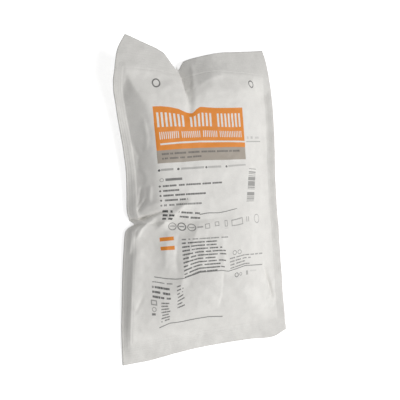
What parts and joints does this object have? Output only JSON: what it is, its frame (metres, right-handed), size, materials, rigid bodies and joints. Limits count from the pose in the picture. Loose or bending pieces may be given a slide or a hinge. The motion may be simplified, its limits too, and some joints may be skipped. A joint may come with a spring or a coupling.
{
  "type": "closed wound suction unit in sealed sterile pouch",
  "caption": "Sealed paper pouch holding a wound drainage set: two webs bulge over the contents inside flat seals, with a folded header, a pinched waist and a printed front.",
  "frame": {"origin": "bottom centre of the bounding box, on the ground that the pouch's back rests on", "axes": "+Z out of the printed front, +Y from the foot seal to the header, +X to the right across the print"},
  "size_m": [0.2146, 0.3638, 0.0413],
  "materials": {
    "pouch_paper": "matt white medical paper, creased, printed in grey and orange on the front"
  },
  "bodies": {
    "root": {"sealed_pouch": "pouch_paper"}
  },
  "joints": []
}
